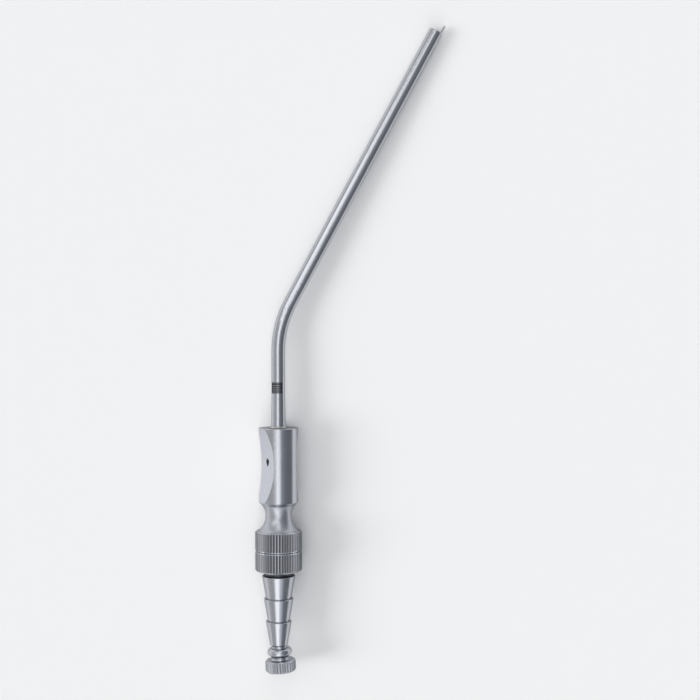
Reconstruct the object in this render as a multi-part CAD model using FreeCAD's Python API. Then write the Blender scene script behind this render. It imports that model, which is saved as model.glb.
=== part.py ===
"""A bent surgical suction tube with a finger-vent grip, a screwed hose connector and a cleaning stylet.

Every piece is first made about the grip's own axis, which is the Y axis, with Y = 0 at the grip's top
face, +Y towards the tube's tip and the tube bent towards +X. The whole instrument is then laid on the
plane Z = 0 in the pose in which it comes to rest. All lengths are in millimetres, all angles in degrees.
"""

import FreeCAD, Part
import math
import os

Vector = FreeCAD.Vector

# How far a cutter runs past what it cuts, and how near two points count as one
OVERSHOOT = 1.0
SAME_PLACE = 0.001

# Suction tube
TUBE_DIAMETER = 4.0
TUBE_WALL = 0.25
TUBE_STRAIGHT = 22.45
TUBE_ARM = 90.35
BEND_ANGLE = 28.3
BEND_RADIUS = 30.0
TIP_ROUND = 0.12
FOOT_DIAMETER = 4.3
FOOT_TAPER = 9.0
TUBE_SEAT = 7.0
BRAZE_GAP = 0.02

# Grip
GRIP_DIAMETER = 11.66
GRIP_LENGTH = 21.8
GRIP_EDGE = 0.15
GRIP_FOOT_HEIGHT = 1.0
SCOOP_RADIUS = 30.0
SCOOP_WEB = 6.8
SCOOP_TURN = 24.0
VENT_DIAMETER = 2.0
VENT_TAIL = 0.5
VENT_FROM_TOP = 9.9

# Neck below the grip
NECK_DIAMETER = 7.6
NECK_LENGTH = 7.4
NECK_COVE = 5.3
NECK_WAIST_FROM_TOP = 3.1

# Knurled collars
COLLAR_DIAMETER = 13.74
UPPER_COLLAR = 5.9
LOWER_COLLAR = 5.9
COLLAR_EDGE = 0.45
SEAM_ROUND = 0.45
COLLAR_FLUTES = 50
FLUTE_DEPTH = 0.28
FLUTE_SHARE_OF_PITCH = 0.72

# Screwed joint between grip and connector
SPIGOT_DIAMETER = 7.9
SPIGOT_LENGTH = 4.7
RUNNING_CLEARANCE = 0.05
SEAM_GAP = 0.02
SPIGOT_END_GAP = 0.3

# Hose connector
CONNECTOR_NECK_DIAMETER = 6.8
CONNECTOR_NECK = 1.5
BARB_COUNT = 3
BARB_LENGTH = 6.7
BARB_TOP_DIAMETER = 9.8
BARB_TOP_STEP = 1.1
BARB_TAPER = 2.35
BARB_EDGE = 0.1
CONNECTOR_TAIL = 0.35
CONNECTOR_END_ROUND = 0.3

# Stylet
WIRE_DIAMETER = 0.5
WIRE_REACH = 2.6
WIRE_LEAN = 3.0
WIRE_LEAN_RUN = 5.0
WIRE_CLEARANCE = 0.06
WIRE_ARM_CLEARANCE = 0.35
WIRE_CURVE = 40.0
WIRE_SOCKET = 3.0
KNOB_TILT = 3.5
KNOB_SHIFT = 0.15
KNOB_SEAT_GAP = 0.05
PLUG_LENGTH = 2.5
PLUG_CLEARANCE = 0.35
PLUG_POINT = 0.6
BOSS_DIAMETER = 4.6
BOSS_HEIGHT = 0.65
BEAD_DIAMETER = 7.2
BEAD_HEIGHT = 2.3
KNOB_NECK_DIAMETER = 4.8
KNOB_NECK = 1.2
KNOB_NECK_FLARE = 0.4
KNOB_DIAMETER = 9.0
KNOB_HEIGHT = 3.4
KNOB_EDGE = 0.5
KNOB_FLUTES = 33
KNOB_FLUTE_DEPTH = 0.22

# Passes that level the three rims the instrument lies on
LEVELLING_PASSES = 12

# Stations along the grip's axis, from the same sizes
BORE_RADIUS = TUBE_DIAMETER / 2 - TUBE_WALL
GRIP_BOTTOM = -GRIP_LENGTH
NECK_TOP = GRIP_BOTTOM - GRIP_FOOT_HEIGHT
COLLAR_TOP = NECK_TOP - NECK_LENGTH
SEAM = COLLAR_TOP - UPPER_COLLAR
CONNECTOR_TOP = SEAM - SEAM_GAP
COLLAR_BOTTOM = CONNECTOR_TOP - LOWER_COLLAR
BARBS_TOP = COLLAR_BOTTOM - CONNECTOR_NECK
CONNECTOR_END = BARBS_TOP - BARB_COUNT * BARB_LENGTH - CONNECTOR_TAIL
BEND_START = TUBE_STRAIGHT
BEND_CORNER = BEND_START + BEND_RADIUS * math.tan(math.radians(BEND_ANGLE / 2))
ARM_DIRECTION = Vector(math.sin(math.radians(BEND_ANGLE)), math.cos(math.radians(BEND_ANGLE)), 0)
ARM_INWARD = Vector(ARM_DIRECTION.y, -ARM_DIRECTION.x, 0)
CORNER = Vector(0, BEND_CORNER, 0)
TIP = CORNER + ARM_DIRECTION * (BEND_CORNER - BEND_START + TUBE_ARM)
AXIS = Vector(0, 1, 0)


class Outline:
    """A closed outline of radius against height, drawn edge by edge and turned about the Y axis."""

    def __init__(self, radius, height):
        self.start = Vector(radius, height, 0)
        self.last = self.start
        self.edges = []

    def line(self, radius, height):
        """Draws a straight edge to a radius and a height."""
        end = Vector(radius, height, 0)
        if end.distanceToPoint(self.last) > SAME_PLACE:
            self.edges.append(Part.LineSegment(self.last, end).toShape())
            self.last = end
        return self

    def arc(self, centre, radius, height):
        """Draws the shorter arc about a centre point to a radius and a height."""
        end = Vector(radius, height, 0)
        middle = (self.last - centre) + (end - centre)
        middle = centre + middle.normalize() * (end - centre).Length
        self.edges.append(Part.Arc(self.last, middle, end).toShape())
        self.last = end
        return self

    def turn(self):
        """Closes the outline and turns it into a solid of revolution."""
        self.line(self.start.x, self.start.y)
        face = Part.Face(Part.Wire(self.edges))
        return face.revolve(Vector(0, 0, 0), AXIS, 360)


def along_axis(radius, low, high):
    """A round bar about the grip's axis between two heights."""
    return Part.makeCylinder(radius, high - low, Vector(0, low, 0), AXIS)


def corner_arc(before, corner, after, radius):
    """The tangent arc that rounds one corner of a path, with its two end points."""
    back = (before - corner).normalize()
    ahead = (after - corner).normalize()
    half = back.getAngle(ahead) / 2
    reach = radius / math.tan(half)
    centre = corner + (back + ahead).normalize() * (radius / math.sin(half))
    middle = centre + (corner - centre).normalize() * radius
    first = corner + back * reach
    last = corner + ahead * reach
    return first, Part.Arc(first, middle, last).toShape(), last


def round_bar(points, corner_radii, bar_radius):
    """A round bar along straight runs that are joined by tangent arcs."""
    edges = []
    at = points[0]
    for index, radius in enumerate(corner_radii):
        first, arc, last = corner_arc(points[index], points[index + 1], points[index + 2], radius)
        edges.append(Part.LineSegment(at, first).toShape())
        edges.append(arc)
        at = last
    edges.append(Part.LineSegment(at, points[-1]).toShape())
    start = Part.Wire(Part.makeCircle(bar_radius, points[0], points[1] - points[0]))
    return Part.Wire(edges).makePipeShell([start], True, False)


def flutes(count, outer_radius, depth, low, high):
    """V-shaped cutters for straight knurling, with a land left facing straight down."""
    over = depth
    half_pitch = math.pi * outer_radius / count
    half_width = FLUTE_SHARE_OF_PITCH * half_pitch * (depth + over) / depth
    cutters = []
    for index in range(count):
        corners = [
            Vector(outer_radius - depth, low, 0),
            Vector(outer_radius + over, low, half_width),
            Vector(outer_radius + over, low, -half_width),
        ]
        cutter = Part.Face(Part.makePolygon(corners + corners[:1])).extrude(AXIS * (high - low))
        cutter.rotate(Vector(0, 0, 0), AXIS, 90 + (index + 0.5) * 360 / count)
        cutters.append(cutter)
    return Part.makeCompound(cutters)


def make_tube():
    """The bent tube, with a foot that widens towards the grip and a rounded mouth."""
    base = Vector(0, -TUBE_SEAT, 0)
    outside = round_bar([base, CORNER, TIP], [BEND_RADIUS], TUBE_DIAMETER / 2)
    foot = Outline(0, base.y).line(FOOT_DIAMETER / 2, base.y).line(FOOT_DIAMETER / 2, 0)
    outside = outside.fuse(foot.line(TUBE_DIAMETER / 2, FOOT_TAPER).line(0, FOOT_TAPER).turn())
    outside = outside.removeSplitter()
    mouth = [edge for edge in outside.Edges if edge.Curve.TypeId == "Part::GeomCircle"
             and edge.Curve.Center.distanceToPoint(TIP) < SAME_PLACE]
    outside = outside.makeFillet(TIP_ROUND, mouth)
    past_base = base - AXIS * OVERSHOOT
    past_tip = TIP + ARM_DIRECTION * OVERSHOOT
    bore = round_bar([past_base, CORNER, past_tip], [BEND_RADIUS], BORE_RADIUS)
    return outside.cut(bore)


def make_scoops():
    """Two round cutters that hollow opposite sides of the grip for finger and thumb."""
    centre_distance = SCOOP_WEB / 2 + SCOOP_RADIUS
    cutters = []
    for side in (0, 180):
        cutter = Part.makeCylinder(
            SCOOP_RADIUS,
            2 * GRIP_DIAMETER,
            Vector(-centre_distance, -GRIP_LENGTH / 2, -GRIP_DIAMETER),
            Vector(0, 0, 1),
        )
        cutter.rotate(Vector(0, 0, 0), AXIS, SCOOP_TURN + side)
        cutters.append(cutter)
    band = along_axis(GRIP_DIAMETER, NECK_TOP, GRIP_EDGE)
    return Part.makeCompound(cutters).common(band)


def make_vent():
    """The finger vent: a drop-shaped hole from the middle of one scoop into the bore."""
    centre = Vector(0, -VENT_FROM_TOP, 0)
    radius = VENT_DIAMETER / 2
    tail = radius + VENT_TAIL
    touch = math.acos(radius / tail)
    side = Vector(0, -math.cos(touch) * radius, math.sin(touch) * radius)
    other = Vector(0, side.y, -side.z)
    point = centre - AXIS * tail
    top = centre + AXIS * radius
    edges = [
        Part.Arc(centre + side, top, centre + other).toShape(),
        Part.LineSegment(centre + other, point).toShape(),
        Part.LineSegment(point, centre + side).toShape(),
    ]
    vent = Part.Face(Part.Wire(edges)).extrude(Vector(-GRIP_DIAMETER, 0, 0))
    vent.rotate(Vector(0, 0, 0), AXIS, SCOOP_TURN)
    return vent


def make_grip():
    """The turned grip with its scoops, vent, neck and upper knurled collar."""
    grip = GRIP_DIAMETER / 2
    collar = COLLAR_DIAMETER / 2
    waist_height = NECK_TOP - NECK_WAIST_FROM_TOP
    cove_centre = Vector(NECK_DIAMETER / 2 + NECK_COVE, waist_height, 0)
    above = NECK_TOP - waist_height
    below = waist_height - COLLAR_TOP
    top_radius = cove_centre.x - math.sqrt(NECK_COVE ** 2 - above ** 2)
    bottom_radius = cove_centre.x - math.sqrt(NECK_COVE ** 2 - below ** 2)
    outline = Outline(0, 0)
    outline.line(grip - GRIP_EDGE, 0)
    outline.line(grip, -GRIP_EDGE)
    outline.line(grip, GRIP_BOTTOM)
    outline.line(top_radius, NECK_TOP)
    outline.arc(cove_centre, NECK_DIAMETER / 2, waist_height)
    outline.arc(cove_centre, bottom_radius, COLLAR_TOP)
    outline.line(collar - COLLAR_EDGE, COLLAR_TOP)
    outline.line(collar, COLLAR_TOP - COLLAR_EDGE)
    outline.line(collar, SEAM + SEAM_ROUND)
    seam_centre = Vector(collar - SEAM_ROUND, SEAM + SEAM_ROUND, 0)
    outline.arc(seam_centre, seam_centre.x, SEAM)
    outline.line(0, SEAM)
    body = outline.turn()
    tube_seat = along_axis(FOOT_DIAMETER / 2 + BRAZE_GAP, -TUBE_SEAT, OVERSHOOT)
    bore = along_axis(BORE_RADIUS, SEAM - OVERSHOOT, -TUBE_SEAT + OVERSHOOT)
    socket_top = SEAM + SPIGOT_LENGTH + SPIGOT_END_GAP
    socket = along_axis(SPIGOT_DIAMETER / 2 + RUNNING_CLEARANCE, SEAM - OVERSHOOT, socket_top)
    knurl = flutes(COLLAR_FLUTES, collar, FLUTE_DEPTH, SEAM - OVERSHOOT, COLLAR_TOP + OVERSHOOT)
    for cutter in (make_scoops(), tube_seat, bore, socket, make_vent(), knurl):
        body = body.cut(cutter)
    return body


def make_connector():
    """The screwed hose connector: spigot, lower knurled collar, round groove and barbs with one bore."""
    collar = COLLAR_DIAMETER / 2
    spigot = SPIGOT_DIAMETER / 2
    spigot_end = CONNECTOR_TOP + SPIGOT_LENGTH
    outline = Outline(0, spigot_end)
    outline.line(spigot - COLLAR_EDGE, spigot_end)
    outline.line(spigot, spigot_end - COLLAR_EDGE)
    outline.line(spigot, CONNECTOR_TOP)
    seam_centre = Vector(collar - SEAM_ROUND, CONNECTOR_TOP - SEAM_ROUND, 0)
    outline.line(seam_centre.x, CONNECTOR_TOP)
    outline.arc(seam_centre, collar, seam_centre.y)
    outline.line(collar, COLLAR_BOTTOM + COLLAR_EDGE)
    outline.line(collar - COLLAR_EDGE, COLLAR_BOTTOM)
    groove = CONNECTOR_NECK / 2
    groove_centre = Vector(CONNECTOR_NECK_DIAMETER / 2 + groove, COLLAR_BOTTOM - groove, 0)
    outline.line(groove_centre.x, COLLAR_BOTTOM)
    outline.arc(groove_centre, CONNECTOR_NECK_DIAMETER / 2, groove_centre.y)
    outline.arc(groove_centre, groove_centre.x, BARBS_TOP)
    for index in range(BARB_COUNT):
        top_radius = (BARB_TOP_DIAMETER - index * BARB_TOP_STEP) / 2
        top = BARBS_TOP - index * BARB_LENGTH
        outline.line(top_radius - BARB_EDGE, top)
        outline.line(top_radius, top - BARB_EDGE)
        outline.line(top_radius - BARB_TAPER / 2, top - BARB_LENGTH)
    outline.line(outline.last.x, CONNECTOR_END)
    outline.line(0, CONNECTOR_END)
    body = outline.turn()
    end_rim = [edge for edge in body.Edges if edge.Curve.TypeId == "Part::GeomCircle"
               and abs(edge.Curve.Center.y - CONNECTOR_END) < SAME_PLACE]
    body = body.makeFillet(CONNECTOR_END_ROUND, end_rim)
    bore = along_axis(BORE_RADIUS, CONNECTOR_END - OVERSHOOT, spigot_end + OVERSHOOT)
    knurl = flutes(COLLAR_FLUTES, collar, FLUTE_DEPTH, COLLAR_BOTTOM - OVERSHOOT, CONNECTOR_TOP + OVERSHOOT)
    return body.cut(bore).cut(knurl)


def knob_placement():
    """Tips the knob until its boss meets the connector's end on the bend's side, by the plug's play."""
    pivot = Vector(BOSS_DIAMETER / 2, CONNECTOR_END - KNOB_SEAT_GAP, 0)
    turn = FreeCAD.Rotation(Vector(0, 0, 1), KNOB_TILT)
    shift = Vector(KNOB_SHIFT, 0, 0)
    return FreeCAD.Placement(pivot + shift - turn.multVec(pivot), turn)


def make_knob():
    """The stylet's finger knob: plug, boss, bead, neck and knurled disc."""
    boss_top = CONNECTOR_END - KNOB_SEAT_GAP
    bead_top = boss_top - BOSS_HEIGHT
    bead_bottom = bead_top - BEAD_HEIGHT
    disc_top = bead_bottom - KNOB_NECK
    disc_bottom = disc_top - KNOB_HEIGHT
    plug = BORE_RADIUS - PLUG_CLEARANCE
    plug_top = boss_top + PLUG_LENGTH
    neck = KNOB_NECK_DIAMETER / 2
    neck_middle = (bead_bottom + disc_top) / 2
    neck_sweep = ((KNOB_NECK / 2) ** 2 + KNOB_NECK_FLARE ** 2) / (2 * KNOB_NECK_FLARE)
    neck_centre = Vector(neck + neck_sweep, neck_middle, 0)
    bead_core = (BEAD_DIAMETER - BEAD_HEIGHT) / 2
    bead_centre = Vector(bead_core, bead_top - BEAD_HEIGHT / 2, 0)
    disc = KNOB_DIAMETER / 2
    outline = Outline(0, plug_top)
    outline.line(plug - PLUG_POINT, plug_top)
    outline.line(plug, plug_top - PLUG_POINT)
    outline.line(plug, boss_top)
    outline.line(BOSS_DIAMETER / 2, boss_top)
    outline.line(BOSS_DIAMETER / 2, bead_top)
    outline.line(bead_core, bead_top)
    outline.arc(bead_centre, bead_core + BEAD_HEIGHT / 2, bead_centre.y)
    outline.arc(bead_centre, bead_core, bead_bottom)
    outline.line(neck + KNOB_NECK_FLARE, bead_bottom)
    outline.arc(neck_centre, neck, neck_middle)
    outline.arc(neck_centre, neck + KNOB_NECK_FLARE, disc_top)
    outline.line(disc - KNOB_EDGE, disc_top)
    outline.line(disc, disc_top - KNOB_EDGE)
    outline.line(disc, disc_bottom + KNOB_EDGE)
    outline.line(disc - KNOB_EDGE, disc_bottom)
    outline.line(0, disc_bottom)
    knob = outline.turn()
    knurl = flutes(KNOB_FLUTES, disc, KNOB_FLUTE_DEPTH, disc_bottom - OVERSHOOT, disc_top + KNOB_NECK / 2)
    socket = along_axis(WIRE_DIAMETER / 2 + BRAZE_GAP, plug_top - WIRE_SOCKET, plug_top + OVERSHOOT)
    knob = knob.cut(knurl).cut(socket)
    knob.Placement = knob_placement()
    return knob


def make_wire():
    """The stylet's wire, from its socket in the knob through every bore and out at the tip."""
    place = knob_placement()
    plug_top = CONNECTOR_END - KNOB_SEAT_GAP + PLUG_LENGTH
    start = place.multVec(Vector(0, plug_top - WIRE_SOCKET, 0))
    leave = place.multVec(Vector(0, plug_top + PLUG_LENGTH, 0))
    offset = BORE_RADIUS - WIRE_DIAMETER / 2 - WIRE_CLEARANCE
    arm_offset = BORE_RADIUS - WIRE_DIAMETER / 2 - WIRE_ARM_CLEARANCE
    corner = CORNER + Vector(offset, -offset * math.tan(math.radians(BEND_ANGLE / 2)), 0)
    lean = math.radians(WIRE_LEAN)
    turn_out = TIP - ARM_DIRECTION * WIRE_LEAN_RUN + ARM_INWARD * arm_offset
    leaning = ARM_DIRECTION * math.cos(lean) + ARM_INWARD * math.sin(lean)
    end = turn_out + leaning * ((WIRE_LEAN_RUN + WIRE_REACH) / math.cos(lean))
    radii = [WIRE_CURVE, BEND_RADIUS - offset, WIRE_CURVE]
    return round_bar([start, leave, corner, turn_out, end], radii, WIRE_DIAMETER / 2)


def rim_height(rim, up):
    """How high the lowest point of a round rim lies along an upward direction."""
    centre, axis, radius = rim
    return centre.dot(up) - radius * math.sqrt(1 - axis.dot(up) ** 2)


def resting_up():
    """The upward direction of the plane that the collar's rim, the grip's top rim and the tip touch.

    The instrument's weight lies inside the triangle of these three points, so it comes to rest on them.
    Each pass levels the three rims for the last direction found, which settles within a few passes.
    """
    collar_rim = (AXIS * (COLLAR_TOP - COLLAR_EDGE), AXIS, COLLAR_DIAMETER / 2)
    grip_rim = (AXIS * -GRIP_EDGE, AXIS, GRIP_DIAMETER / 2)
    tip_rim = (TIP - ARM_DIRECTION * TIP_ROUND, ARM_DIRECTION, TUBE_DIAMETER / 2)
    up = Vector(0, 0, 1)
    for _ in range(LEVELLING_PASSES):
        nod = (rim_height(grip_rim, up) - rim_height(collar_rim, up)) / (grip_rim[0].y - collar_rim[0].y)
        up = (up - AXIS * nod).normalize()
        roll = (rim_height(tip_rim, up) - rim_height(grip_rim, up)) / tip_rim[0].x
        up = (up - Vector(roll, 0, 0)).normalize()
    return up, rim_height(tip_rim, up)


def lay_down(pieces):
    """Turns and moves all pieces to the resting pose, centred over the origin, and returns that move."""
    up, floor = resting_up()
    forward = (AXIS - up * AXIS.dot(up)).normalize()
    turn = FreeCAD.Rotation(forward.cross(up), forward, up, "ZXY").inverted()
    lowered = FreeCAD.Placement(Vector(0, 0, -floor), turn)
    for shape in pieces.values():
        shape.Placement = lowered.multiply(shape.Placement)
    box = Part.makeCompound(list(pieces.values())).optimalBoundingBox(False)
    centred = FreeCAD.Placement(Vector(-box.Center.x, -box.Center.y, 0), FreeCAD.Rotation())
    for shape in pieces.values():
        shape.Placement = centred.multiply(shape.Placement)
    return centred.multiply(lowered)


def tell(label, vector):
    """Prints a named point or direction."""
    print(label, [round(value, 6) for value in (vector.x, vector.y, vector.z)])


def main():
    """Builds every piece, lays the instrument down and writes one file for each piece."""
    pieces = {
        "suction_tube": make_tube(),
        "grip": make_grip(),
        "hose_connector": make_connector(),
        "stylet_wire": make_wire(),
        "stylet_knob": make_knob(),
    }
    place = lay_down(pieces)
    os.makedirs("parts", exist_ok=True)
    for name, shape in pieces.items():
        shape.exportStep(f"parts/{name}.step")
        print(name, "valid" if shape.isValid() else "NOT VALID", round(shape.Volume, 3), "cubic mm")
    tell("middle of the tube's arm", place.multVec(TIP - ARM_DIRECTION * (TUBE_ARM / 2)))
    tell("tube's tip", place.multVec(TIP))
    tell("direction of the arm", place.Rotation.multVec(ARM_DIRECTION))
    tell("seam between the collars", place.multVec(AXIS * SEAM))
    tell("end of the connector", place.multVec(AXIS * CONNECTOR_END))
    tell("direction of the grip's axis", place.Rotation.multVec(AXIS))


main()
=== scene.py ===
"""Dresses the bent suction tube: satin steel for every piece, a braze at the tube's foot, and a pale studio.

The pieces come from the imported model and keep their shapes. Places along the instrument are given in
millimetres from the seam between the two knurled collars, along the grip's axis towards the tube.
"""

import logging
import math
from dataclasses import dataclass, field
from enum import Enum
from typing import Optional, Union

import bpy
from mathutils import Euler, Matrix, Vector


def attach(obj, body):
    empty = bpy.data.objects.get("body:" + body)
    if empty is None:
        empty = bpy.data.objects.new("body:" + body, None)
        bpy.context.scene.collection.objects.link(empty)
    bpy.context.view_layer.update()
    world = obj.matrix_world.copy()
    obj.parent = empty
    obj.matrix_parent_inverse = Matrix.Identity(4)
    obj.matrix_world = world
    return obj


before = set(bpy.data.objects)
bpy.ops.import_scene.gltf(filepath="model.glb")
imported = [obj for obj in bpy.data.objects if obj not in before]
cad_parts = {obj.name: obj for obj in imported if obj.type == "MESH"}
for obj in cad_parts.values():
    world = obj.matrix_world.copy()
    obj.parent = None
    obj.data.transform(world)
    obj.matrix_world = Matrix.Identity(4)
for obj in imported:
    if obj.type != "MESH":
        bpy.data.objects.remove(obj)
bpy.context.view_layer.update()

log = logging.getLogger("suction_tube")

MM = 0.001


class Body(Enum):
    """The two bodies that move against each other."""

    HANDLE = "handle"
    CONNECTOR = "connector"


class Slot(Enum):
    """A material slot of the record, which no piece in this script takes its finish from."""

    TUBE = "tube_steel"


class Sock:
    """A socket of a node tree, on which Python's arithmetic makes Math and Vector Math nodes."""

    def __init__(self, tree: bpy.types.NodeTree, socket: bpy.types.NodeSocket) -> None:
        """Wraps one socket of a tree.

        Args:
            tree: the tree.
            socket: the socket.
        """
        self.tree = tree
        self.socket = socket

    def is_vector(self) -> bool:
        """Tells a vector or colour from a number.

        Returns:
            Whether this is a vector or a colour.
        """
        return self.socket.type in ("VECTOR", "RGBA")

    def math(self, operation: str, *others: "Value") -> "Sock":
        """Makes a Math node on this value.

        Args:
            operation: the Math node's operation.
            others: the values after this one.

        Returns:
            The node's result.
        """
        return node(self.tree, "ShaderNodeMath", {"operation": operation}, dict(enumerate((self, *others))))

    def vector(self, operation: str, *others: "Value", output: str = "Vector") -> "Sock":
        """Makes a Vector Math node on this vector.

        Args:
            operation: the Vector Math node's operation.
            others: the vectors after this one.
            output: which of the node's outputs is wanted.

        Returns:
            The node's result.
        """
        values = dict(enumerate((self, *others)))
        return node(self.tree, "ShaderNodeVectorMath", {"operation": operation}, values, output)

    def __add__(self, other: "Value") -> "Sock":
        """Adds another value or vector.

        Args:
            other: the value or vector.

        Returns:
            The sum.
        """
        return self.vector("ADD", other) if self.is_vector() else self.math("ADD", other)

    __radd__ = __add__

    def __sub__(self, other: "Value") -> "Sock":
        """Takes another value or vector away.

        Args:
            other: the value or vector.

        Returns:
            The difference.
        """
        return self.vector("SUBTRACT", other) if self.is_vector() else self.math("SUBTRACT", other)

    def __rsub__(self, other: float) -> "Sock":
        """Takes this value from a number.

        Args:
            other: the number.

        Returns:
            The difference.
        """
        return node(self.tree, "ShaderNodeMath", {"operation": "SUBTRACT"}, {0: other, 1: self})

    def __mul__(self, other: Union["Sock", float]) -> "Sock":
        """Multiplies this value or vector by a number.

        Args:
            other: the number.

        Returns:
            The product.
        """
        if self.is_vector():
            return node(self.tree, "ShaderNodeVectorMath", {"operation": "SCALE"}, {0: self, "Scale": other})
        return self.math("MULTIPLY", other)

    __rmul__ = __mul__

    def __matmul__(self, other: "Value") -> "Sock":
        """Makes the dot product with another vector.

        Args:
            other: the other vector.

        Returns:
            The product.
        """
        return self.vector("DOT_PRODUCT", other, output="Value")

    def smooth(self, low: float, high: float) -> "Sock":
        """Rises smoothly from 0 to 1.

        Args:
            low: where the rise starts.
            high: where it ends.

        Returns:
            The rise.
        """
        limits = {"Value": self, "From Min": low, "From Max": high, "To Min": 0.0, "To Max": 1.0}
        return node(self.tree, "ShaderNodeMapRange", {"interpolation_type": "SMOOTHSTEP"}, limits)

    def inside(self, low: float, high: float, soft: float) -> "Sock":
        """Is 1 between two values and 0 outside them, with soft edges.

        Args:
            low: the lower value.
            high: the upper value.
            soft: how far each edge fades to either side.

        Returns:
            The mask.
        """
        return self.smooth(low - soft, low + soft) * (1 - self.smooth(high - soft, high + soft))


Value = Union[Sock, float, tuple, Vector]


def node(
    tree: bpy.types.NodeTree,
    kind: str,
    settings: Optional[dict] = None,
    values: Optional[dict] = None,
    output: Union[int, str] = 0,
) -> Sock:
    """Adds any node.

    Args:
        tree: the tree that it goes into.
        kind: the node's type.
        settings: the node's own settings, set before its sockets.
        values: numbers, colours or links for its input sockets, by name or place.
        output: which output is returned.

    Returns:
        The chosen output, or the first input of a node that has no outputs.
    """
    made = tree.nodes.new(kind)
    for name, value in (settings or {}).items():
        setattr(made, name, value)
    for name, value in (values or {}).items():
        if isinstance(value, Sock):
            tree.links.new(value.socket, made.inputs[name])
        else:
            made.inputs[name].default_value = value
    if not made.outputs:
        return Sock(tree, made.inputs[0])
    return Sock(tree, made.outputs[output])


def mixed(tree: bpy.types.NodeTree, share: Value, first: Value, second: Value) -> Sock:
    """Mixes two colours.

    Args:
        tree: the tree that it goes into.
        share: how much of the second colour there is, from 0 to 1.
        first: the first colour.
        second: the second colour.

    Returns:
        The mixed colour.
    """
    return node(tree, "ShaderNodeMix", {"data_type": "RGBA"}, {"Factor": share, 6: first, 7: second}, 2)


@dataclass(frozen=True)
class Stretch:
    """One straight stretch of the instrument: a point on its axis in millimetres, and the axis."""

    origin: Vector
    axis: Vector

    def side(self) -> Vector:
        """Finds the level direction across this stretch.

        Returns:
            The direction to its right when it is seen from above.
        """
        return self.axis.cross(Vector((0, 0, 1))).normalized()

    def place(self, tree: bpy.types.NodeTree) -> Sock:
        """Measures the shaded point from this stretch's origin.

        Args:
            tree: the material's tree.

        Returns:
            The point in millimetres.
        """
        return node(tree, "ShaderNodeTexCoord", output="Object") * (1 / MM) - self.origin

    def matrix(self, height: float) -> Matrix:
        """Turns the Z axis into this stretch's axis and moves to a height along it.

        Args:
            height: the height in millimetres.

        Returns:
            The matrix, in metres.
        """
        turn = Vector((0, 0, 1)).rotation_difference(self.axis).to_matrix().to_4x4()
        return Matrix.Translation((self.origin + self.axis * height) * MM) @ turn


# The grip with the tube up to its bend, the tube's arm beyond the bend, and the tilted knob
GRIP = Stretch(Vector((-21.182338, -59.034525, 7.051738)), Vector((0.0, 0.999419, -0.034079)))
ARM = Stretch(Vector((3.820171, 53.450792, 3.288961)), Vector((0.474086, 0.880013, -0.028627)))
KNOB = Stretch(Vector((-20.649, -92.913, 8.209)), Vector((-0.06105, 0.99755, -0.0342)).normalized())

# The grip's top face, the straight tube above it, and the bend's height and its angle in degrees
GRIP_TOP = 36.1
TUBE_STRAIGHT = 22.45
BEND_HEIGHT = 14.2
BEND_FROM = GRIP_TOP + TUBE_STRAIGHT
BEND_TO = BEND_FROM + BEND_HEIGHT
BEND_ANGLE = 28.3

# The knurled collars: their radius, the flutes' depth, and where the flutes lie on each side of the seam
COLLAR_RADIUS = 6.87
COLLAR_FLUTE = 0.28
COLLAR_FROM = 0.42
COLLAR_TO = 5.6

# A knurled rim's look: the part of a flute's depth over which it fades in, how strongly it shows on the
# lands, what it does to the steel's roughness, and the painted shade that darkens it, most in the flutes
FLUTE_FADE = 0.5
LAND_SHARE = 0.6
KNURL_ROUGH = 0.25
KNURL_PAINTED_SHADE = -0.45


@dataclass(frozen=True)
class Mark:
    """A plain etched patch on the straight tube: a dark square crossed by fine bright bars."""

    left: float = -1.87
    right: float = 1.22
    low: float = 46.25
    high: float = 49.45
    edge: float = 0.05
    bar_pitch: float = 0.62
    bar_margin: float = 0.32
    bar_rise: tuple[float, float] = (-0.1, 0.9)
    bar_strength: float = 0.55
    side_soft: float = 0.1
    strength: float = 0.9
    rough: float = 0.25
    ink: tuple[float, float, float, float] = (0.02, 0.021, 0.025, 1.0)

    def mask(self, across: Sock, along: Sock, up: Sock) -> Sock:
        """Where the mark is etched, from 0 to 1.

        Args:
            across: millimetres to the right of the axis.
            along: millimetres along the axis.
            up: millimetres above the axis.

        Returns:
            The mask.
        """
        margin = self.bar_margin
        patch = across.inside(self.left, self.right, self.edge)
        patch = patch * along.inside(self.low, self.high, self.edge)
        inner = across.inside(self.left + margin, self.right - margin, self.edge)
        inner = inner * along.inside(self.low + margin, self.high - margin, self.edge)
        bars = (along * (2 * math.pi / self.bar_pitch)).math("SINE").smooth(*self.bar_rise)
        upper = up.smooth(-self.side_soft, self.side_soft)
        return patch * (1 - inner * bars * self.bar_strength) * upper * self.strength


@dataclass(frozen=True)
class Zone:
    """A zone of a turned surface, below a radius and between two heights, with a look of its own.

    Where it shows, tone changes the steel's brightness by that share, painting shade or light into the
    colour, and rough is added to its roughness.
    """

    radius: float
    depth: float
    low: float
    high: float
    least: float = 0.0
    tone: float = 0.0
    rough: float = 0.0
    end_soft: float = 0.02

    def share(self, out: Sock, along: Sock) -> Sock:
        """How strongly the zone shows: 0 outside it, at least the least between its heights, 1 deep in it.

        Args:
            out: millimetres from the axis.
            along: millimetres along the axis.

        Returns:
            The share.
        """
        deep = 1 - out.smooth(self.radius - self.depth, self.radius)
        return (deep * (1 - self.least) + self.least) * along.inside(self.low, self.high, self.end_soft)


def knurl(radius: float, flute: float, low: float, high: float, tone: float = KNURL_PAINTED_SHADE) -> Zone:
    """The zone of a knurled rim, rougher all over, with painted shade that darkens its flutes and, less, its
    lands.

    Args:
        radius: the rim's radius in millimetres.
        flute: the depth of its flutes.
        low: where the flutes start along the axis.
        high: where they end.
        tone: the painted shade's change of the steel's brightness, as a share.

    Returns:
        The zone.
    """
    return Zone(radius, FLUTE_FADE * flute, low, high, least=LAND_SHARE, tone=tone, rough=KNURL_ROUGH)


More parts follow.
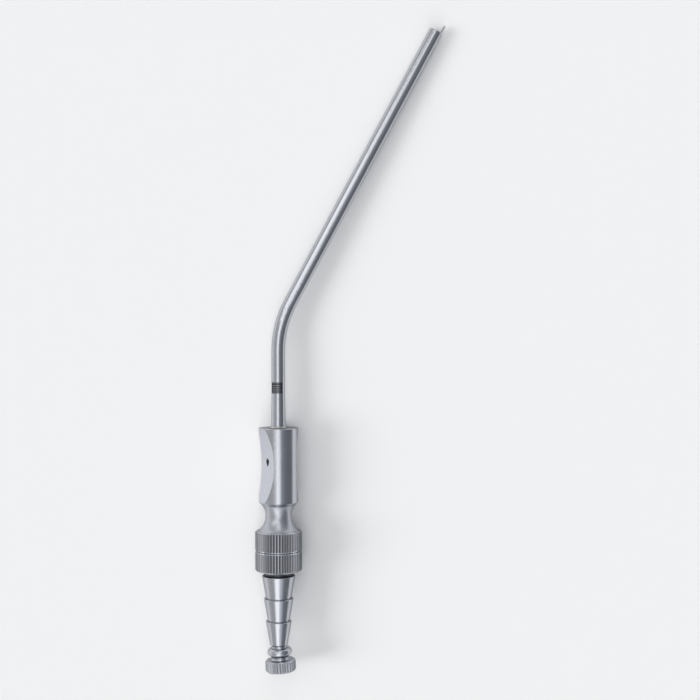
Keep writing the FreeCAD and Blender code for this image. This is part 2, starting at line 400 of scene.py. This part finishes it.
@dataclass(frozen=True)
class Steel:
    """Satin stainless steel, polished round the piece, which leaves very fine lines across its axis.

    The lines change quickly along the axis and slowly round it, and a cloudy wear lies over them.
    """

    name: str
    roughness: float
    colour: tuple[float, float, float] = (0.565, 0.58, 0.625)
    stretch: Stretch = GRIP
    bent: bool = False
    lines_per_mm: float = 3.0
    line_change: float = 0.12
    line_tone: float = 0.10
    line_slope: float = 0.12
    cloud_scale: float = 0.16
    cloud_tone: float = 0.07
    noise_detail: float = 3.0
    noise_fineness: float = 0.6
    noise_rough: float = 0.05
    edge_tint: float = 0.45
    zones: tuple[Zone, ...] = ()
    mark: Optional[Mark] = None

    def axis(self, tree: bpy.types.NodeTree, along: Sock) -> Sock:
        """The direction of the axis at each point: fixed, or turning through the tube's bend.

        Args:
            tree: the material's tree.
            along: millimetres along the straight stretch.

        Returns:
            The direction.
        """
        turned = along.smooth(BEND_FROM, BEND_TO) if self.bent else 0.0
        leaning = node(tree, "ShaderNodeMix", {"data_type": "VECTOR"}, {
            "Factor": turned, 4: self.stretch.axis, 5: ARM.axis}, 1)
        return leaning.vector("NORMALIZE")

    def noise(self, tree: bpy.types.NodeTree, where: Sock, scale: float, flat: bool) -> Sock:
        """Noise about 0.

        Args:
            tree: the material's tree.
            where: where it is looked up.
            scale: how fine it is.
            flat: whether it lies on a plane rather than in space.

        Returns:
            The noise.
        """
        settings = {"noise_dimensions": "2D" if flat else "3D"}
        values = {"Vector": where, "Scale": scale}
        values.update({"Detail": self.noise_detail, "Roughness": self.noise_fineness})
        return node(tree, "ShaderNodeTexNoise", settings, values) - 0.5

    def material(self) -> bpy.types.Material:
        """Makes the material, with its polishing lines, cloudy wear, zones of painted shade and light, and
        mark.

        Returns:
            The material.
        """
        made = bpy.data.materials.new(self.name)
        made.use_nodes = True
        tree = made.node_tree
        tree.nodes.clear()
        place = self.stretch.place(tree)
        height = place @ self.stretch.axis
        axis = self.axis(tree, height)
        along = place @ axis
        around = place - axis * along
        fine = node(tree, "ShaderNodeCombineXYZ", None, {
            0: along * self.lines_per_mm, 1: around @ self.stretch.side() * self.line_change})
        lines = self.noise(tree, fine, 1.0, True)
        cloud = self.noise(tree, place, self.cloud_scale, False)
        tone = 1 + lines * self.line_tone + cloud * self.cloud_tone
        roughness = self.roughness + lines * self.noise_rough + cloud * self.noise_rough
        # the zones paint shade into the knurl flutes and the recess under the lower collar, and paint light
        # onto the scoops
        for zone in self.zones:
            share = zone.share(around.vector("LENGTH", output="Value"), height)
            tone = tone * (1 + share * zone.tone)
            roughness = roughness + share * zone.rough
        colour = node(tree, "ShaderNodeVectorMath", {"operation": "SCALE"}, {0: self.colour, "Scale": tone})
        if self.mark:
            above = self.stretch.side().cross(self.stretch.axis)
            etched = self.mark.mask(place @ self.stretch.side(), height, place @ above)
            colour = mixed(tree, etched, colour, self.mark.ink)
            roughness = roughness + etched * self.mark.rough
        normal = node(tree, "ShaderNodeNewGeometry", output="Normal") + axis * (lines * self.line_slope)
        shader = node(tree, "ShaderNodeBsdfPrincipled", None, {
            "Base Color": colour,
            "Metallic": 1.0,
            "Roughness": roughness,
            "Normal": normal.vector("NORMALIZE"),
            "Specular Tint": (self.edge_tint, self.edge_tint, self.edge_tint, 1.0),
        })
        node(tree, "ShaderNodeOutputMaterial", None, {"Surface": shader})
        return made


def dress(name: str, body: Body, steel: Steel) -> None:
    """Gives a CAD node one finish all over.

    Args:
        name: the node.
        body: the body that it rides on, for the log.
        steel: its finish.
    """
    material = steel.material()
    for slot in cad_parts[name].material_slots:
        slot.material = material
    log.info("dressed %s on the %s with %s", name, body.value, steel.name)


@dataclass
class Braze:
    """The small hollow fillet of silver braze where the tube's foot enters the grip."""

    inner: float = 2.1
    width: float = 0.65
    height: float = 0.5
    steps: int = 72
    hollow_share: float = 0.93
    hollow_profile: float = 0.15
    hollow_segments: int = 5
    merge_distance: float = 1e-7
    smooth_angle: float = 40.0
    steel: Steel = Steel("silver_braze", 0.3, (0.6, 0.6, 0.6), lines_per_mm=1.5)

    def build(self) -> None:
        """Draws the outline as a rectangle with one hollowed corner, and spins it round the tube."""
        bpy.ops.object.select_all(action="DESELECT")
        bpy.ops.mesh.primitive_plane_add(size=1.0, location=(0, 0, 0))
        piece = bpy.context.object
        piece.name = "foot_braze"
        bpy.ops.object.mode_set(mode="EDIT")
        bpy.ops.mesh.select_all(action="SELECT")
        bpy.ops.transform.rotate(value=math.pi / 2, orient_axis="X", center_override=(0, 0, 0))
        bpy.ops.transform.resize(value=(self.width * MM, 1, self.height * MM), center_override=(0, 0, 0))
        bpy.ops.transform.translate(value=((self.inner + self.width / 2) * MM, 0, self.height / 2 * MM))
        self.hollow_corner(piece)
        bpy.ops.mesh.select_all(action="SELECT")
        bpy.ops.mesh.spin(steps=self.steps, angle=2 * math.pi, center=(0, 0, 0), axis=(0, 0, 1))
        bpy.ops.mesh.select_all(action="SELECT")
        bpy.ops.mesh.remove_doubles(threshold=self.merge_distance)
        bpy.ops.mesh.select_all(action="DESELECT")
        bpy.ops.mesh.select_interior_faces()
        bpy.ops.mesh.delete(type="ONLY_FACE")
        bpy.ops.mesh.select_all(action="SELECT")
        bpy.ops.mesh.normals_make_consistent(inside=False)
        bpy.ops.object.mode_set(mode="OBJECT")
        piece.matrix_world = GRIP.matrix(GRIP_TOP)
        bpy.ops.object.transform_apply(location=True, rotation=True, scale=True)
        bpy.ops.object.shade_smooth_by_angle(angle=math.radians(self.smooth_angle))
        piece.data.materials.append(self.steel.material())
        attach(piece, Body.HANDLE.value)
        log.info("built %s with %d faces", piece.name, len(piece.data.polygons))

    def hollow_corner(self, piece: bpy.types.Object) -> None:
        """Bevels the outline's outer top corner inwards to a hollow curve.

        Args:
            piece: the outline, in edit mode.
        """
        bpy.ops.mesh.select_all(action="DESELECT")
        bpy.ops.object.mode_set(mode="OBJECT")
        corner = max(piece.data.vertices, key=lambda vertex: vertex.co.x + vertex.co.z)
        corner.select = True
        bpy.ops.object.mode_set(mode="EDIT")
        bpy.ops.mesh.bevel(
            offset=self.hollow_share * min(self.width, self.height) * MM,
            segments=self.hollow_segments,
            profile=self.hollow_profile,
            affect="VERTICES",
        )


@dataclass
class SuctionTube:
    """The long bent tube with its etched mark, brazed into the grip."""

    steel: Steel = Steel("satin_tube", 0.2, bent=True, mark=Mark())
    braze: Braze = field(default_factory=Braze)

    def build(self) -> None:
        """Dresses the tube and builds its braze."""
        dress("suction_tube", Body.HANDLE, self.steel)
        self.braze.build()


@dataclass
class FingerGrip:
    """The turned grip with its scoops, vent, hollow neck and upper knurled collar."""

    roughness: float = 0.24
    # painted shade in the upper collar's flutes
    collar: Zone = knurl(COLLAR_RADIUS, COLLAR_FLUTE, COLLAR_FROM, COLLAR_TO)
    # painted light: the scoop faces' colour is brightened
    scoops: Zone = Zone(radius=5.8, depth=0.05, low=14.35, high=36.0, tone=0.34, rough=0.06)
    neck: Zone = Zone(radius=7.0, depth=0.5, low=5.95, high=13.25, rough=0.12)

    def build(self) -> None:
        """Dresses the grip, with a rougher knurled collar darkened by painted shade, painted light
        brightening the milled scoops, and a softer neck.
        """
        steel = Steel("satin_grip", self.roughness, zones=(self.collar, self.scoops, self.neck))
        dress("grip", Body.HANDLE, steel)


@dataclass
class HoseConnector:
    """The screwed connector with the lower knurled collar and three barbs."""

    roughness: float = 0.24
    # painted shade in the lower collar's flutes
    collar: Zone = knurl(COLLAR_RADIUS, COLLAR_FLUTE, -COLLAR_TO, -COLLAR_FROM)
    # painted shade in the recess under the lower collar, where the collar's shadow falls
    groove_painted_shade: Zone = Zone(radius=4.85, depth=0.5, low=-7.5, high=-5.86, tone=-0.65, rough=0.2)

    def build(self) -> None:
        """Dresses the connector, with painted shade in its collar's flutes and in the recess under its
        collar.
        """
        steel = Steel("satin_connector", self.roughness, zones=(self.collar, self.groove_painted_shade))
        dress("hose_connector", Body.CONNECTOR, steel)


@dataclass
class Stylet:
    """The stylet: a wire through the bore, with a knurled knob under the barbs."""

    # slight painted shade in the knob's flutes
    rim: Zone = knurl(radius=4.5, flute=0.22, low=-1.45, high=1.45, tone=-0.05)
    knob_roughness: float = 0.25
    wire: Steel = Steel("satin_wire", 0.24, bent=True)

    def build(self) -> None:
        """Dresses the knob and the wire."""
        knob = Steel("satin_knob", self.knob_roughness, stretch=KNOB, zones=(self.rim,))
        dress("stylet_knob", Body.HANDLE, knob)
        dress("stylet_wire", Body.HANDLE, self.wire)


@dataclass(frozen=True)
class SoftBox:
    """One soft light of the room, as limits of the direction across and along the instrument."""

    across: tuple[float, float]
    along: tuple[float, float]
    level: float
    across_soft: float = 0.06
    along_soft: float = 0.05
    turn: float = 0.0

    def light(self, way: Sock) -> Sock:
        """The light that comes from each direction, in axes turned clockwise by the box's turn in degrees.

        Args:
            way: the direction.

        Returns:
            The light's level.
        """
        sine, cosine = math.sin(math.radians(self.turn)), math.cos(math.radians(self.turn))
        across = (way @ Vector((cosine, -sine, 0))).inside(*self.across, self.across_soft)
        return across * (way @ Vector((sine, cosine, 0))).inside(*self.along, self.along_soft) * self.level


@dataclass
class Studio:
    """The pale floor, the soft light all round and the camera above the instrument.

    The target and the distance are in millimetres, the angles in degrees, and the floor and the clipping
    in metres. A span is where a light of the room fades in, as a part of its direction to the side.
    """

    floor_tone: tuple[float, float, float] = (0.913, 0.913, 0.913)
    floor_radius: float = 9.0
    floor_corners: int = 96
    target: tuple[float, float, float] = (-0.135, -0.162, 6.0)
    yaw: float = 2.869
    pitch: float = 3.006
    roll: float = -0.024
    distance: float = 350.0
    lens: float = 61.356
    sensor: float = 36.0
    clip: tuple[float, float] = (0.01, 30.0)
    room_level: float = 0.34
    near_left: float = 0.12
    near_left_span: tuple[float, float] = (0.05, 0.45)
    far_left: float = 0.15
    far_left_span: tuple[float, float] = (0.75, 1.0)
    right_loss: float = 0.16
    right_span: tuple[float, float] = (0.1, 0.9)
    white: tuple[float, float, float, float] = (1.0, 1.0, 1.0, 1.0)
    cool_side: tuple[float, float, float, float] = (0.93, 0.98, 1.07, 1.0)
    cool_span: tuple[float, float] = (-0.1, 0.5)
    lamp_from: tuple[float, float, float] = (-0.85, -0.10, 0.52)
    lamp_energy: float = 1.53
    lamp_angle: float = 26.0
    boxes: tuple[SoftBox, ...] = (
        SoftBox((-0.42, 0.10), (-0.96, -0.25), 1.2),
        SoftBox((0.10, 0.45), (-0.96, -0.25), 0.36),
        SoftBox((-0.20, 0.21), (-0.27, -0.02), 1.2),
        SoftBox((-0.42, 0.04), (-0.02, 0.14), 1.2),
        SoftBox((-0.12, 0.08), (0.14, 0.27), 0.5),
        SoftBox((-0.16, 0.16), (0.27, 0.97), 1.1),
        SoftBox((-0.86, -0.25), (-0.05, 0.24), 1.1, across_soft=0.08, turn=BEND_ANGLE),
    )

    def build(self) -> None:
        """Makes the camera, the floor and the light."""
        self.make_camera()
        self.make_floor()
        self.make_room()
        self.make_lamp()

    def make_camera(self) -> None:
        """Places the camera as in the photograph, looking down on the instrument."""
        data = bpy.data.cameras.new("camera")
        data.sensor_width = self.sensor
        data.lens = self.lens
        data.clip_start, data.clip_end = self.clip
        camera = bpy.data.objects.new("camera", data)
        bpy.context.scene.collection.objects.link(camera)
        angles = [math.radians(-angle) for angle in (self.pitch, self.yaw, self.roll)]
        turn = Euler(angles, "ZXY").to_matrix()
        camera.rotation_mode = "ZXY"
        camera.rotation_euler = turn.to_euler("ZXY")
        camera.location = (Vector(self.target) + turn @ Vector((0, 0, self.distance))) * MM
        bpy.context.scene.camera = camera

    def make_floor(self) -> None:
        """Lays a plain pale floor, wide enough to fill a low view."""
        bpy.ops.object.select_all(action="DESELECT")
        bpy.ops.mesh.primitive_circle_add(
            vertices=self.floor_corners, radius=self.floor_radius, fill_type="NGON")
        floor = bpy.context.object
        floor.name = "floor"
        made = bpy.data.materials.new("floor_paint")
        made.use_nodes = True
        tree = made.node_tree
        tree.nodes.clear()
        paint = node(tree, "ShaderNodeBsdfDiffuse", None, {"Color": (*self.floor_tone, 1.0)})
        node(tree, "ShaderNodeOutputMaterial", None, {"Surface": paint})
        floor.data.materials.append(made)

    def make_room(self) -> None:
        """Paints the room: soft boxes overhead and beyond the tip, a pale left and a darker right side."""
        world = bpy.data.worlds.new("room")
        world.use_nodes = True
        bpy.context.scene.world = world
        tree = world.node_tree
        tree.nodes.clear()
        way = node(tree, "ShaderNodeTexCoord", output="Generated")
        across = way @ Vector((1, 0, 0))
        leftward = 0 - across
        level = self.room_level - across.smooth(*self.right_span) * self.right_loss
        level = level + leftward.smooth(*self.near_left_span) * self.near_left
        level = level + leftward.smooth(*self.far_left_span) * self.far_left
        glow = self.boxes[0].light(way)
        for box in self.boxes[1:]:
            glow = glow.math("MAXIMUM", box.light(way))
        tint = mixed(tree, across.smooth(*self.cool_span), self.white, self.cool_side)
        light = tint * (level + glow)
        shader = node(tree, "ShaderNodeBackground", None, {"Color": light, "Strength": 1.0})
        node(tree, "ShaderNodeOutputWorld", None, {"Surface": shader})

    def make_lamp(self) -> None:
        """Hangs a soft lamp on the left that lights the floor and draws the soft shadow on it."""
        data = bpy.data.lights.new("left_lamp", "SUN")
        data.energy = self.lamp_energy
        data.angle = math.radians(self.lamp_angle)
        lamp = bpy.data.objects.new("left_lamp", data)
        lamp.rotation_euler = Vector(self.lamp_from).to_track_quat("Z", "Y").to_euler()
        lamp.visible_glossy = False
        bpy.context.scene.collection.objects.link(lamp)


def main() -> None:
    """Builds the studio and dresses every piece."""
    logging.basicConfig(level=logging.INFO, format="%(message)s")
    bpy.context.scene.view_settings.view_transform = "Standard"
    for part in (Studio(), SuctionTube(), FingerGrip(), HoseConnector(), Stylet()):
        part.build()


if __name__ == "__main__":
    main()
